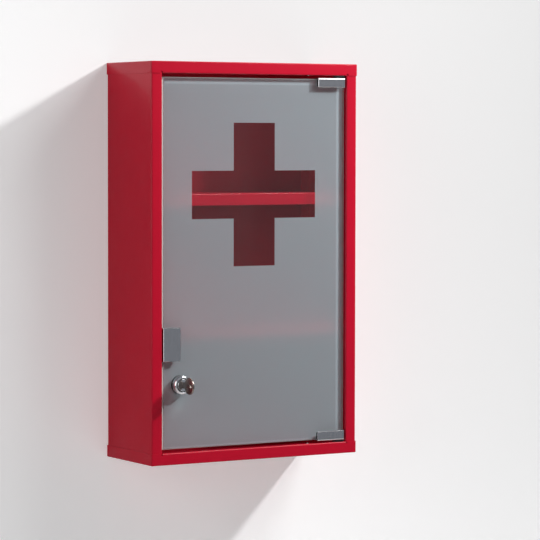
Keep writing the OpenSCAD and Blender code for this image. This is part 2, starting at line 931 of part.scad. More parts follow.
// Plug: face, body, square post for the cam, key slot and screw bore
module lock_plug() {
    face_r = plug_face_d / 2;
    plug_l = cam_front_y - plug_front_y;
    post_l = cam_t - post_short;
    slot_w = blade_t + 2 * blade_clear;
    slot_h = blade_h + 2 * blade_clear;
    color("silver")
        translate([lock_x, 0, lock_z])
            difference() {
                union() {
                    translate([0, plug_front_y, 0])
                        revolve_y()
                            polygon([[0, 0], [face_r - plug_chamfer, 0], [face_r, -plug_chamfer],
                                [face_r, -plug_face_l], [plug_d / 2, -plug_face_l],
                                [plug_d / 2, -plug_l], [0, -plug_l]]);
                    translate([-post_w / 2, cam_front_y - post_l, -post_w / 2])
                        cube([post_w, 2 * post_l, post_w]);
                }
                translate([-slot_w / 2, plug_front_y - through, -slot_h / 2])
                    cube([slot_w, slot_rear_y - plug_front_y + through, slot_h]);
                translate([0, cam_screw_y, 0])
                    rotate([-90, 0, 0]) cylinder(d = cam_screw_d, h = cam_screw_l + through);
            }
}

// Cam hanging down at rest, with a square hole for the plug's post
module lock_cam() {
    hub_r = cam_w / 2 + hub_w;
    tip_r = cam_w / 2;
    hole_w = post_w + 2 * post_clear;
    color("silver")
        translate([lock_x, cam_front_y, lock_z])
            along_y(cam_t)
                difference() {
                    union() {
                        circle(hub_r);
                        translate([-tip_r, tip_r - cam_l]) square([cam_w, cam_l - tip_r]);
                        translate([0, tip_r - cam_l]) circle(tip_r);
                    }
                    square(hole_w, center = true);
                }
}

module cam_screw() {
    head_r = post_w / 2 + cam_head_w;
    color("silver")
        translate([lock_x, cam_front_y + cam_t, lock_z])
            rotate([-90, 0, 0])
                difference() {
                    union() {
                        translate([0, 0, -cam_screw_l])
                            cylinder(d = cam_screw_d, h = cam_screw_l + cam_head_h / 2);
                        pan_head(head_r, cam_head_h);
                    }
                    translate([0, 0, cam_head_h]) cross_recess(head_r);
                }
}

// Key: round bow with a ring hole, neck, and a blade with its cuts along the lower edge
module key() {
    cut_pitch = blade_l / (key_cuts + 2);
    shoulder_y = plug_front_y - key_stop_gap;
    neck_h = blade_h + 2 * key_shoulder;
    color("tan")
        translate([lock_x, 0, lock_z])
            difference() {
                union() {
                    translate([-bow_t / 2, bow_y, 0])
                        rotate([0, 90, 0]) cylinder(d = bow_d, h = bow_t);
                    translate([-bow_t / 2, bow_y, -neck_h / 2])
                        cube([bow_t, shoulder_y - bow_y, neck_h]);
                    translate([-blade_t / 2, bow_y, -blade_h / 2])
                        cube([blade_t, plug_front_y + blade_l - bow_y, blade_h]);
                }
                translate([-bow_t, bow_y - ring_hole_out, 0])
                    rotate([0, 90, 0]) cylinder(r = ring_hole_r, h = 2 * bow_t);
                for (i = [1 : key_cuts])
                    translate([0, plug_front_y + (i + 0.4) * cut_pitch, -blade_h / 2])
                        rotate([45, 0, 0]) key_cut(key_cut_w + key_cut_step * (i % 3));
            }
}

module key_cut(w) {
    cube([2 * blade_t, w, w], center = true);
}

top_cap();
bottom_cap();
side_left();
side_right();
back_panel();
shelf_upper();
shelf_lower();
shelf_cleats_upper();
shelf_cleats_lower();
pivot_plates();
pivot_rivets();
hinge_bush_top();
hinge_bush_bottom();
latch_bracket();
latch_housing();
latch_screws();
latch_plunger();
latch_magnet();
door_glass();
frost_layer();
hinge_clamp_top();
hinge_clamp_bottom();
hinge_pins();
hinge_pads_top();
hinge_pads_bottom();
hinge_screws();
catch_plate();
catch_pads();
lock_body();
lock_gaskets();
lock_nut();
lock_plug();
lock_cam();
cam_screw();
key();
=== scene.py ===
"""Materials, studio and small parts of the lockable medicine cabinet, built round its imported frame."""

import json
import math

import bmesh
import bpy
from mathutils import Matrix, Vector


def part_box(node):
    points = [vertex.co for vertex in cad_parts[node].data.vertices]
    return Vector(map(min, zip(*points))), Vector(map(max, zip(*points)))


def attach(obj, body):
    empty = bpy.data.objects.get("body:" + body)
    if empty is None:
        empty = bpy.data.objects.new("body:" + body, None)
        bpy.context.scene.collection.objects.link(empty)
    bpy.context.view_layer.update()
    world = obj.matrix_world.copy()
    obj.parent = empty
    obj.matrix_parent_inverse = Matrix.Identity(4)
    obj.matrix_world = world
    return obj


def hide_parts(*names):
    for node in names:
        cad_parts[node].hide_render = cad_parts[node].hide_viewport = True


MM = 0.001
QUARTER_TURN = 90.0
FULL_TURN = 360.0

# Camera of the photograph: left of the cabinet and slightly above its middle. Its place is in metres,
# its turns are in degrees, and its lens and sensor in millimetres.
CAMERA_AT = (-1.70005, -2.99367, 0.15709)
CAMERA_YAW = 30.889
CAMERA_PITCH = -2.873
CAMERA_ROLL = 0.103
CAMERA_LENS = 177.1
CAMERA_SENSOR = 36.0

# Wall and floor: the share of light that their paint throws back, and what the eye is shown instead.
# KEY_FALL is the power of the distance by which the key lamp's light weakens along the wall.
WALL_SIZE = (8.0, 4.0)
FLOOR_Z = -1.3
WALL_PAINT = 0.85
FLOOR_PAINT = 0.80
WALL_SHOWN = 0.75
WALL_SHOWN_MOST = 1.0
WALL_GLOW = 0.30
KEY_FALL = 3

# Lamps: where they stand, how wide they are, and their watts. All of them face AIM.
KEY_AT = (1.40, -1.10, 1.08)
LAMPS = {
    "key_lamp": (KEY_AT, 0.15, 32.0),
    "soft_lamp": ((0.62, -0.74, 0.84), 0.6, 6.6),
    "left_lamp": ((-2.4, -0.75, 0.5), 2.0, 16.0),
    "rear_lamp": ((0.6, 2.2, 1.4), 1.6, 40.0),
}
AIM = (0.0, -0.06, 0.0)

# The world: weak on the object, stronger in its reflections, pale behind it.
FILL = 0.04
FILL_GLOSSY = 0.26
FILL_COLOUR = (0.93, 0.98, 1.08)
BACKGROUND = 0.90
WHITE = (1.0, 1.0, 1.0)

# Powder coat. The cabinet's top, down to TOP_SKIN below its face, is painted darker for bounced light
# only, a painted shade: it throws TOP_BOUNCE of its colour on the wall.
RED = (0.60, 0.001, 0.024)
RED_INSIDE = (0.44, 0.008, 0.027)
TOP_BOUNCE = 0.25
TOP_SKIN = 0.5 * MM
COAT_CLOUDS = 60.0 * MM
COAT_PATCHES = 12.0 * MM
COAT_PEEL = 1.1 * MM
COAT_PEEL_DEPTH = 0.03 * MM
COAT_PEEL_STRENGTH = 0.6

# Glass and frosting. FROST_BACK is scattered back, FROST_THROUGH passes blurred, and FROST_STRAIGHT
# is the share of the lamps' light that passes straight. The frosting is painted brighter in rims,
# painted light that lies between two distances in from its right, top and bottom edges.
GLASS_TINT = (0.93, 0.975, 0.955)
GLASS_SHADOW_TINT = (0.88, 0.90, 0.89)
GLASS_WAVES = 30.0 * MM
GROUND_OUTSIDE = (0.060, 0.064, 0.062)
GROUND_INSIDE = (0.60, 0.63, 0.62)
GROUND_GRAIN = 0.8 * MM
PANE_FACING = 0.9  # above this share of its normal a face looks to the front or the rear
FROST_BACK = (0.345, 0.396, 0.444)
FROST_THROUGH = (0.42, 0.40, 0.40)
FROST_STRAIGHT = 0.62
FROST_GRAIN = 0.6 * MM
FILM_GAP = 0.02 * MM
# Painted light: the frosting's colour is multiplied by this in rims along its edges, which have soft
# borders and lie these distances in
PAINTED_RIM_LIGHT = 1.30
PAINTED_RIM_BLUR = 0.8 * MM
PAINTED_RIM_RIGHT = (6.6 * MM, 9.6 * MM)
PAINTED_RIM_TOP = (4.8 * MM, 7.4 * MM)
PAINTED_RIM_BOTTOM = (-1.0 * MM, 2.2 * MM)

# Metals: colour, roughness, stretch of the scratches along X, Y and Z, and their depth
NO_GRAIN = (1.0, 1.0, 1.0)
SCRATCH_SIZE = 0.4 * MM
SCRATCH_DEPTH = 0.002 * MM
METALS = {
    "satin_steel": ((0.60, 0.598, 0.612), 0.175, (1.0, 1.0, 0.05), SCRATCH_DEPTH),
    "zinc_steel": ((0.72, 0.73, 0.74), 0.17, NO_GRAIN, 0.0),
    "bright_chrome": ((0.80, 0.80, 0.81), 0.07, NO_GRAIN, 0.0),
    # The key's nickel is given a dark brown colour: painted shade for the dark surroundings that it
    # reflects
    "key_nickel": ((0.27, 0.225, 0.20), 0.26, (1.0, 0.1, 1.0), SCRATCH_DEPTH),
    "magnet": ((0.40, 0.40, 0.42), 0.30, NO_GRAIN, 0.0),
}

# Plastics and rubber: colour and roughness
MOULDED = {
    "black_nylon": ((0.008, 0.008, 0.009), 0.30),
    "white_plastic": ((0.78, 0.78, 0.76), 0.40),
    "pad_rubber": ((0.018, 0.018, 0.018), 0.70),
}
MOULDED_GRAIN = 0.5 * MM
MOULDED_GRAIN_DEPTH = 0.01 * MM
MOULDED_PATCHES = 8.0 * MM
MOULDED_SPREAD = 0.06

# Lock. THREAD_FLANK and THREAD_CREST are shares of the pitch.
PLUG_CLEARANCE = 0.05 * MM
PLUG_RADIUS = 6.0 * MM
PLUG_FACE_LENGTH = 5.1 * MM
DISH_DEPTH = 2.0 * MM
DOME_WIDTH = 2.9 * MM
DOME_DEPTH = 4.2 * MM
DOME_STEPS = 10
CREST_WIDTH = 0.1 * MM
LIP_RADIUS = 0.35 * MM
LIP_TURN = 70.0
LIP_STEPS = 3
BEZEL_CHAMFER = 0.3 * MM
BARREL_RADIUS = 9.0 * MM
BARREL_CHAMFER = 0.2 * MM
THREAD_DEPTH = 0.5 * MM
THREAD_PITCH = 1.0 * MM
THREAD_START = 0.5 * MM
THREAD_FREE = 1.2 * MM
THREAD_FLANK = 0.4
THREAD_CREST = 0.1
TURNED_STEPS = 64

# Key. The blade is KEY_PITCHES long. Its cuts stand one pitch apart, and CUT_SHIFT of a pitch nearer
# to the tip than a whole number of them.
BOW_STEPS = 56
BOW_ROUNDING = 0.55 * MM
RING_HOLE_RADIUS = 2.0 * MM
RING_HOLE_OUT = 4.2 * MM
RING_HOLE_STEPS = 24
NECK_GAP = 0.2 * MM
NECK_SHOULDER = 0.5 * MM
BLADE_HEIGHT = 7.0 * MM
BLADE_THICKNESS = 2.2 * MM
BLADE_ROUNDING = 0.12 * MM
TIP_LENGTH = 1.6 * MM
TIP_DROP = 2.0 * MM
TIP_CHAMFER = 0.5 * MM
KEY_CUTS = 4
KEY_PITCHES = 6
CUT_SHIFT = 0.4
CUT_DEPTH = 0.8 * MM
CUT_DEPTH_STEP = 0.35 * MM
CUT_DEPTHS = 3
CUT_FLOOR = 0.3 * MM

# Rounding of the edges that a press, a mould or a grinder leaves on each piece
EDGE_ROUNDING = {
    "top_cap": 0.3 * MM, "bottom_cap": 0.3 * MM, "side_left": 0.3 * MM, "side_right": 0.3 * MM,
    "back_panel": 0.2 * MM, "shelf_upper": 0.25 * MM, "shelf_lower": 0.25 * MM,
    "shelf_cleats_upper": 0.2 * MM, "shelf_cleats_lower": 0.2 * MM, "pivot_plates": 0.2 * MM,
    "hinge_bush_top": 0.15 * MM, "hinge_bush_bottom": 0.15 * MM, "hinge_clamp_top": 0.25 * MM,
    "hinge_clamp_bottom": 0.25 * MM, "hinge_pins": 0.15 * MM, "catch_plate": 0.40 * MM,
    "latch_bracket": 0.2 * MM, "latch_housing": 0.35 * MM, "latch_plunger": 0.2 * MM,
    "latch_magnet": 0.15 * MM, "lock_nut": 0.15 * MM, "lock_cam": 0.2 * MM,
    "lock_plug": 0.15 * MM, "cam_screw": 0.1 * MM, "latch_screws": 0.1 * MM,
    "hinge_screws": 0.1 * MM, "pivot_rivets": 0.1 * MM, "lock_gaskets": 0.15 * MM,
    "hinge_pads_top": 0.2 * MM, "hinge_pads_bottom": 0.2 * MM, "catch_pads": 0.2 * MM,
}
EDGE_STEPS = 2
PLATE_ROUNDING_STEPS = 3

# Meshes: points this close are one, and these angles, in degrees, part flat sides and sharp corners
SAME_POINT = 0.002 * MM
SAME_SIDE = 0.5
ROUNDED_ABOVE = 32.0
SHARP_ABOVE = 34.0


# ---- Node helpers ----

# Places of the colour sockets on a Mix node
MIX_FIRST = 6
MIX_SECOND = 7
MIX_RESULT = 2

# Where most of a noise's values lie
NOISE_LOW = 0.3
NOISE_HIGH = 0.7


def add(tree, kind, inputs=None, **settings):
    """A new shader node with its settings, and its inputs set to values or linked to sockets."""
    made = tree.nodes.new(kind)
    for name, value in settings.items():
        setattr(made, name, value)
    for name, value in (inputs or {}).items():
        if isinstance(value, bpy.types.NodeSocket):
            tree.links.new(value, made.inputs[name])
        else:
            made.inputs[name].default_value = value
    return made


def rgba(colour):
    return (*colour, 1.0)


def scaled(colour, factor):
    return tuple(min(1.0, part * factor) for part in colour)


def new_material(name):
    material = bpy.data.materials.new(name)
    material.use_nodes = True
    material.node_tree.nodes.clear()
    return material, material.node_tree


def finish_material(tree, shader):
    add(tree, "ShaderNodeOutputMaterial", {"Surface": shader.outputs[0]})


def object_point(tree, stretch=NO_GRAIN):
    """The piece's own coordinates in metres, stretched for a grain that runs one way."""
    at = add(tree, "ShaderNodeTexCoord")
    moved = add(tree, "ShaderNodeMapping", {"Vector": at.outputs["Object"], "Scale": stretch})
    return moved.outputs[0]


def maths(tree, operation, first, second=0.0):
    """A number worked out from one or two others."""
    return add(tree, "ShaderNodeMath", {0: first, 1: second}, operation=operation).outputs[0]


def noise(tree, point, size, detail=2.0, roughness=0.5):
    """Noise whose features are about size metres across, from 0 to 1."""
    made = add(tree, "ShaderNodeTexNoise", {"Vector": point, "Scale": 1.0 / size,
                                            "Detail": detail, "Roughness": roughness})
    return made.outputs["Fac"]


def spread(tree, value, low, high):
    """The values of a noise taken to low to high."""
    made = add(tree, "ShaderNodeMapRange", {"Value": value, "From Min": NOISE_LOW, "From Max": NOISE_HIGH,
                                            "To Min": low, "To Max": high})
    return made.outputs[0]


def band(tree, value, start, end):
    """1 where a value lies between start and end, and 0 outside, with soft borders."""
    borders = []
    for border, before, after in ((start, 0.0, 1.0), (end, 1.0, 0.0)):
        step = add(tree, "ShaderNodeMapRange", {
            "Value": value, "From Min": border - PAINTED_RIM_BLUR, "From Max": border + PAINTED_RIM_BLUR,
            "To Min": before, "To Max": after}, interpolation_type="SMOOTHSTEP")
        borders.append(step.outputs[0])
    return maths(tree, "MULTIPLY", *borders)


def mixed_colours(tree, factor, first, second):
    """Two colours mixed, each a plain one or a socket; at factor 1 it is the second alone."""
    first, second = (colour if isinstance(colour, bpy.types.NodeSocket) else rgba(colour)
                     for colour in (first, second))
    return add(tree, "ShaderNodeMix", {0: factor, MIX_FIRST: first, MIX_SECOND: second},
               data_type="RGBA").outputs[MIX_RESULT]


def mixed_shaders(tree, factor, first, second):
    """Two shaders mixed; at factor 1 it is the second alone."""
    return add(tree, "ShaderNodeMixShader", {0: factor, 1: first.outputs[0], 2: second.outputs[0]})


def shades(tree, value, colour, dark, light):
    """The colour times dark to light, by the values of a noise."""
    share = spread(tree, value, low=0.0, high=1.0)
    return mixed_colours(tree, share, scaled(colour, dark), scaled(colour, light))


def bump(tree, height, depth, strength):
    made = add(tree, "ShaderNodeBump", {"Height": height, "Distance": depth, "Strength": strength})
    return made.outputs[0]


# ---- Materials ----


def powder_coat(name, colour):
    """Semi-gloss powder coat with fine orange peel. The cabinet's top throws little of its colour
    on the wall, which stays white over the cabinet in the photograph."""
    material, tree = new_material(name)
    point = object_point(tree)
    path = add(tree, "ShaderNodeLightPath")
    axes = add(tree, "ShaderNodeSeparateXYZ", {0: point})
    # Painted shade: to bounced light only, the top shows TOP_BOUNCE of its colour, so less red light
    # reaches the wall
    on_top = maths(tree, "GREATER_THAN", axes.outputs["Z"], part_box("top_cap")[1].z - TOP_SKIN)
    top_bounce_shade = maths(tree, "MULTIPLY", on_top, path.outputs["Is Diffuse Ray"])
    paint = shades(tree, noise(tree, point, COAT_CLOUDS), colour, dark=0.97, light=1.03)
    peel = noise(tree, point, COAT_PEEL, detail=1.0)
    shader = add(tree, "ShaderNodeBsdfPrincipled", {
        "Base Color": mixed_colours(tree, top_bounce_shade, paint, scaled(colour, TOP_BOUNCE)),
        "Roughness": spread(tree, noise(tree, point, COAT_PATCHES), low=0.42, high=0.48),
        "Specular IOR Level": 0.08,
        "Coat Weight": 0.9,
        "Coat Roughness": 0.17,
        "Coat IOR": 1.35,
        "Normal": bump(tree, peel, COAT_PEEL_DEPTH, COAT_PEEL_STRENGTH),
    })
    finish_material(tree, shader)
    return material


def clear_glass():
    """Clear faces that let the lamps shine through, and ground edges, which are told by their normal:
    it points neither to the front nor to the rear."""
    material, tree = new_material("clear_glass")
    point = object_point(tree)
    polished = add(tree, "ShaderNodeBsdfPrincipled", {
        "Base Color": rgba(GLASS_TINT),
        "Roughness": spread(tree, noise(tree, point, GLASS_WAVES), low=0.0, high=0.012),
        "IOR": 1.5,
        "Transmission Weight": 1.0,
    })
    path = add(tree, "ShaderNodeLightPath")
    lit_through = maths(tree, "MAXIMUM", path.outputs["Is Shadow Ray"], path.outputs["Is Diffuse Ray"])
    tinted = add(tree, "ShaderNodeBsdfTransparent", {"Color": rgba(GLASS_SHADOW_TINT)})
    face = mixed_shaders(tree, lit_through, polished, tinted)
    grain = noise(tree, point, GROUND_GRAIN)
    outside = add(tree, "ShaderNodeBsdfDiffuse", {
        "Color": shades(tree, grain, GROUND_OUTSIDE, dark=0.9, light=1.1)})
    inside = add(tree, "ShaderNodeBsdfTranslucent", {"Color": rgba(GROUND_INSIDE)})
    ground = add(tree, "ShaderNodeAddShader", {0: outside.outputs[0], 1: inside.outputs[0]})
    at = add(tree, "ShaderNodeTexCoord")
    axes = add(tree, "ShaderNodeSeparateXYZ", {0: at.outputs["Normal"]})
    on_edge = maths(tree, "LESS_THAN", maths(tree, "ABSOLUTE", axes.outputs["Y"]), PANE_FACING)
    finish_material(tree, mixed_shaders(tree, on_edge, face, ground))
    return material


def frosting():
    """Etched film: it scatters part of the light back, and passes part that blurs what is behind.
    Only its rear face acts. Part of the lamps' light goes straight through to the shelves, which
    stands for the forward scatter of a real film. The rims by the ground edges are painted brighter:
    painted light."""
    material, tree = new_material("frosting")
    point = object_point(tree)
    low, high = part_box("frost_layer")
    axes = add(tree, "ShaderNodeSeparateXYZ", {0: point})
    # Painted light: masks of the rims along the right, top and bottom edges, where the frosting is
    # painted brighter
    painted_rims = [band(tree, axes.outputs[axis], start, end) for axis, start, end in (
        ("X", high.x - PAINTED_RIM_RIGHT[1], high.x - PAINTED_RIM_RIGHT[0]),
        ("Z", high.z - PAINTED_RIM_TOP[1], high.z - PAINTED_RIM_TOP[0]),
        ("Z", low.z + PAINTED_RIM_BOTTOM[0], low.z + PAINTED_RIM_BOTTOM[1]))]
    glow = maths(tree, "MAXIMUM", maths(tree, "MAXIMUM", painted_rims[0], painted_rims[1]), painted_rims[2])
    grain = noise(tree, point, FROST_GRAIN, detail=1.0)
    plain = shades(tree, grain, FROST_BACK, dark=0.97, light=1.03)
    # The frosting's colour is painted brighter in the rims: painted light
    painted_rim_colour = mixed_colours(tree, glow, plain, scaled(FROST_BACK, PAINTED_RIM_LIGHT))
    back = add(tree, "ShaderNodeBsdfDiffuse", {"Color": painted_rim_colour})
    through = add(tree, "ShaderNodeBsdfTranslucent", {"Color": rgba(FROST_THROUGH)})
    etched = add(tree, "ShaderNodeAddShader", {0: back.outputs[0], 1: through.outputs[0]})
    clear = add(tree, "ShaderNodeBsdfTransparent")
    path = add(tree, "ShaderNodeLightPath")
    straight = maths(tree, "MULTIPLY", path.outputs["Is Shadow Ray"], FROST_STRAIGHT)
    film = mixed_shaders(tree, straight, etched, clear)
    rear = maths(tree, "GREATER_THAN", axes.outputs["Y"], (low.y + high.y) / 2)
    finish_material(tree, mixed_shaders(tree, rear, clear, film))
    return material


def metal(name, colour, roughness, grain, depth):
    """Plated or brushed metal; grain stretches its fine scratches along an axis."""
    material, tree = new_material(name)
    fine = noise(tree, object_point(tree, grain), SCRATCH_SIZE, detail=3.0)
    settings = {
        "Base Color": shades(tree, fine, colour, dark=0.92, light=1.06),
        "Metallic": 1.0,
        "Roughness": spread(tree, fine, low=roughness * 0.85, high=roughness * 1.2),
    }
    if depth:
        settings["Normal"] = bump(tree, fine, depth, strength=0.5)
    finish_material(tree, add(tree, "ShaderNodeBsdfPrincipled", settings))
    return material


def moulded(name, colour, roughness):
    """Moulded plastic or rubber with a fine matt texture."""
    material, tree = new_material(name)
    point = object_point(tree)
    fine = noise(tree, point, MOULDED_GRAIN)
    shader = add(tree, "ShaderNodeBsdfPrincipled", {
        "Base Color": shades(tree, noise(tree, point, MOULDED_PATCHES), colour, dark=0.94, light=1.05),
        "Roughness": spread(tree, fine, roughness - MOULDED_SPREAD, roughness + MOULDED_SPREAD),
        "Normal": bump(tree, fine, MOULDED_GRAIN_DEPTH, strength=0.5),
    })
    finish_material(tree, shader)
    return material


def stage_paint(name, bounced):
    """Pale paint that vanishes from behind: a plain diffuse colour to the light, and to the eye a
    lighter one that keeps the object's shadow. The eye's one is evened out against the key lamp's
    fall, which goes with the cube of the distance."""
    material, tree = new_material(name)
    path = add(tree, "ShaderNodeLightPath")
    through = maths(tree, "SUBTRACT", path.outputs["Is Transmission Ray"], path.outputs["Is Diffuse Ray"])
    seen = maths(tree, "MAXIMUM", path.outputs["Is Camera Ray"], through)
    place = add(tree, "ShaderNodeNewGeometry")
    away = add(tree, "ShaderNodeVectorMath", {0: place.outputs["Position"], 1: KEY_AT},
               operation="DISTANCE")
    fall = maths(tree, "POWER", away.outputs["Value"], KEY_FALL)
    even = maths(tree, "MULTIPLY", fall, WALL_SHOWN / Vector(KEY_AT).length ** KEY_FALL)
    plain = add(tree, "ShaderNodeBsdfDiffuse", {"Color": rgba((bounced,) * 3)})
    lit = add(tree, "ShaderNodeBsdfDiffuse", {"Color": maths(tree, "MINIMUM", even, WALL_SHOWN_MOST)})
    glow = add(tree, "ShaderNodeEmission", {"Color": rgba(WHITE), "Strength": WALL_GLOW})
    eye = add(tree, "ShaderNodeAddShader", {0: lit.outputs[0], 1: glow.outputs[0]})
    front = mixed_shaders(tree, seen, plain, eye)
    clear = add(tree, "ShaderNodeBsdfTransparent")
    finish_material(tree, mixed_shaders(tree, place.outputs["Backfacing"], front, clear))
    return material


# ---- Studio ----


def stage_plane(name, corners, material):
    mesh = bpy.data.meshes.new(name)
    mesh.from_pydata(corners, [], [range(len(corners))])
    mesh.materials.append(material)
    plane = bpy.data.objects.new(name, mesh)
    bpy.context.scene.collection.objects.link(plane)
    return plane


def studio_room():
    """The wall that the cabinet's rear flanges lie on, and a floor well below it."""
    wall_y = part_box("top_cap")[1].y
    half, high = WALL_SIZE[0] / 2, WALL_SIZE[1]
    wall = stage_plane("studio_wall", [(-half, wall_y, FLOOR_Z), (half, wall_y, FLOOR_Z),
                                       (half, wall_y, high), (-half, wall_y, high)],
                       stage_paint("wall_paint", WALL_PAINT))
    wall.visible_shadow = False
    stage_plane("studio_floor", [(-half, -half, FLOOR_Z), (half, -half, FLOOR_Z),
                                 (half, wall_y, FLOOR_Z), (-half, wall_y, FLOOR_Z)],
                stage_paint("floor_paint", FLOOR_PAINT))


def studio_lamps():
    for name, (at, size, watts) in LAMPS.items():
        data = bpy.data.lights.new(name, "AREA")
        data.shape = "DISK"
        data.size = size
        data.energy = watts
        lamp = bpy.data.objects.new(name, data)
        lamp.location = at
        lamp.rotation_euler = (Vector(AIM) - Vector(at)).to_track_quat("-Z", "Y").to_euler()
        bpy.context.scene.collection.objects.link(lamp)


def studio_world():
    world = bpy.data.worlds.new("studio_world")
    bpy.context.scene.world = world
    world.use_nodes = True
    tree = world.node_tree
    tree.nodes.clear()
    path = add(tree, "ShaderNodeLightPath")
    shader = add(tree, "ShaderNodeBackground", {"Color": rgba(FILL_COLOUR), "Strength": FILL})
    for strength, colour, when in ((FILL_GLOSSY, FILL_COLOUR, "Is Glossy Ray"),
                                   (BACKGROUND, WHITE, "Is Camera Ray")):
        other = add(tree, "ShaderNodeBackground", {"Color": rgba(colour), "Strength": strength})
        shader = mixed_shaders(tree, path.outputs[when], shader, other)
    add(tree, "ShaderNodeOutputWorld", {"Surface": shader.outputs[0]})


def photo_camera():
    data = bpy.data.cameras.new("photo_camera")
    data.sensor_fit = "HORIZONTAL"
    data.sensor_width = CAMERA_SENSOR
    data.lens = CAMERA_LENS
    camera = bpy.data.objects.new("photo_camera", data)
    camera.location = CAMERA_AT
    camera.rotation_euler = (math.radians(QUARTER_TURN + CAMERA_PITCH), math.radians(-CAMERA_ROLL),
                             math.radians(-CAMERA_YAW))
    bpy.context.scene.collection.objects.link(camera)
    bpy.context.scene.camera = camera


# ---- Mesh helpers ----


def clean_mesh(frame, node, whole_sides=True):
    """The CAD node's own surface with its points joined. Whole sides have each flat side in one
    face, which the rounding of edges needs."""
    source = frame["nodes"][node].data.copy()
    normals = source.attributes.get("custom_normal")
    if normals:
        source.attributes.remove(normals)
    shape = bmesh.new()
    shape.from_mesh(source)
    bpy.data.meshes.remove(source)
    bmesh.ops.remove_doubles(shape, verts=shape.verts, dist=SAME_POINT)
    if whole_sides:
        bmesh.ops.dissolve_limit(shape, angle_limit=math.radians(SAME_SIDE), verts=shape.verts,
                                 edges=shape.edges)
    shade_smooth(shape)
    return shape


def shade_smooth(shape):
    for face in shape.faces:
        face.smooth = True


def new_piece(frame, name, shape, node, finishes):
    """A piece of the scene that stands for a CAD node, with the node's body and finish."""
    slot = next(part["material_slot"] for part in frame["record"]["subparts"] if part["node"] == node)
    body = next(body for body, nodes in frame["record"]["behaviour"]["bodies"].items() if node in nodes)
    mesh = bpy.data.meshes.new(name)
    shape.to_mesh(mesh)
    shape.free()
    mesh.materials.append(finishes[slot])
    piece = bpy.data.objects.new(name, mesh)
    bpy.context.scene.collection.objects.link(piece)
    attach(piece, body)
    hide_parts(node)
    return piece


def turned(shape, profile, axis_x, axis_z):
    """Revolves a closed profile of (radius, y) round a line along Y."""
    rings = []
    for step in range(TURNED_STEPS):
        turn = math.tau * step / TURNED_STEPS
        rings.append([shape.verts.new((axis_x + radius * math.sin(turn), y,
                                       axis_z + radius * math.cos(turn))) for radius, y in profile])
    for step, ring in enumerate(rings):
        after = rings[(step + 1) % TURNED_STEPS]
        for i in range(len(profile)):
            j = (i + 1) % len(profile)
            shape.faces.new((ring[i], ring[j], after[j], after[i])).smooth = True


def arc(centre, radii, start, end, steps):
    """The steps + 1 points of part of an ellipse, its angles in degrees."""
    angles = [math.radians(start + (end - start) * i / steps) for i in range(steps + 1)]
    return [(centre[0] + radii[0] * math.cos(angle), centre[1] + radii[1] * math.sin(angle))
            for angle in angles]


def soften(piece, width):
    """Rounds the edges that turn by more than the small steps of a curve."""
    rounding = piece.modifiers.new("edge_rounding", "BEVEL")
    rounding.width = width
    rounding.segments = EDGE_STEPS
    rounding.limit_method = "ANGLE"
    rounding.angle_limit = math.radians(ROUNDED_ABOVE)
    rounding.harden_normals = True


def flat_at_corners(piece):
    """Keeps the corners that turn sharply from being shaded as one curve."""
    piece.data.set_sharp_from_angle(angle=math.radians(SHARP_ABOVE))


def plate_from_outline(name, outlines, thickness, rounding):
    """A mesh of a flat plate in the XY plane, with its rims rounded. Each outline is a closed list
    of points; the first is the rim and the others are holes."""
    curve = bpy.data.curves.new(name, "CURVE")
    curve.dimensions = "2D"
    curve.fill_mode = "BOTH"
    for outline in outlines:
        line = curve.splines.new("POLY")
        line.points.add(len(outline) - 1)
        for point, (x, y) in zip(line.points, outline):
            point.co = (x, y, 0.0, 1.0)
        line.use_cyclic_u = True
    curve.extrude = thickness / 2 - rounding
    curve.bevel_depth = rounding
    curve.bevel_resolution = PLATE_ROUNDING_STEPS
    curve.offset = -rounding
    holder = bpy.data.objects.new(name, curve)
    mesh = bpy.data.meshes.new_from_object(holder)
    bpy.data.objects.remove(holder)
    bpy.data.curves.remove(curve)
    return mesh


# ---- The cabinet's own parts ----


def glass_pane(frame, finishes):
    """The glass again, with its flat faces shaded flat right up to the ground edges."""
    shape = clean_mesh(frame, "door_glass", whole_sides=False)
    flat_at_corners(new_piece(frame, "pane_door_glass", shape, "door_glass", finishes))


def frost_film(frame, finishes):
    """The frosting again, its front a hair behind the glass, so that no ray meets both at once."""
    low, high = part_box("frost_layer")
    shape = clean_mesh(frame, "frost_layer", whole_sides=False)
    for vertex in shape.verts:
        if vertex.co.y < (low.y + high.y) / 2:
            vertex.co.y += FILM_GAP
    flat_at_corners(new_piece(frame, "pane_frost_layer", shape, "frost_layer", finishes))


def soft_edged_pieces(frame, finishes):
    """The folded, cast and moulded pieces again, with their edges rounded."""
    for node, width in EDGE_ROUNDING.items():
        soften(new_piece(frame, "soft_" + node, clean_mesh(frame, node), node, finishes), width)


def thread_profile(root, rear_y, front_y):
    """Points (radius, y) of the thread's ridges, from the barrel's rear end towards the bezel."""
    points = []
    for turn in range(int((rear_y - front_y - THREAD_FREE) / THREAD_PITCH)):
        y = rear_y - THREAD_START - turn * THREAD_PITCH
        for radius, share in ((root, 0.0), (BARREL_RADIUS, THREAD_FLANK),
                              (BARREL_RADIUS, THREAD_FLANK + THREAD_CREST),
                              (root, 2 * THREAD_FLANK + THREAD_CREST)):
            points.append((radius, y - share * THREAD_PITCH))
    return points


